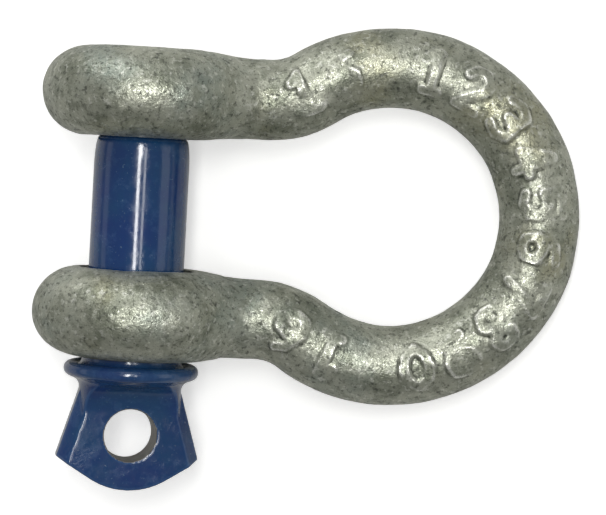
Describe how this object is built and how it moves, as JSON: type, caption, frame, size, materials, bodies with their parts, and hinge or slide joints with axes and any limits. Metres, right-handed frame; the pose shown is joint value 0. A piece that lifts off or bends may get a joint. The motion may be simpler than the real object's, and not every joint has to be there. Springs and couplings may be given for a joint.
{
  "type": "bow shackle",
  "caption": "Bow shackle: a bent round bar with an eye at each end, closed by a right-hand screw pin with a collar and a flat spade head.",
  "frame": {"origin": "on the pin's axis, midway between the two eyes", "axes": "+X to the crown of the bow, +Y along the pin towards the threaded eye, +Z out of the plane of the bow"},
  "size_m": [0.1082, 0.0949, 0.041],
  "materials": {
    "galvanised_bow": "hot-dip galvanised over forged steel, mottled and matt with bright flecks",
    "blue_pin": "thick glossy dark blue paint over forged steel"
  },
  "bodies": {
    "shackle_bow": {"bow": "galvanised_bow"},
    "collar": {"pin_collar": "blue_pin"},
    "pin": {"screw_pin": "blue_pin"}
  },
  "joints": [
    {"name": "pin_travel", "type": "slide", "parent": "shackle_bow", "child": "collar", "axis": [0, -1, 0], "range_m": [0, 0.09143]},
    {"name": "pin_turn", "type": "hinge", "parent": "collar", "child": "pin", "pos_m": [0, 0, 0], "axis": [0, -1, 0], "range_deg": [0, 12960]}
  ],
  "couplings": [
    {"joint": "pin_turn", "follows": "pin_travel", "rad_per_m": 2473.7}
  ]
}
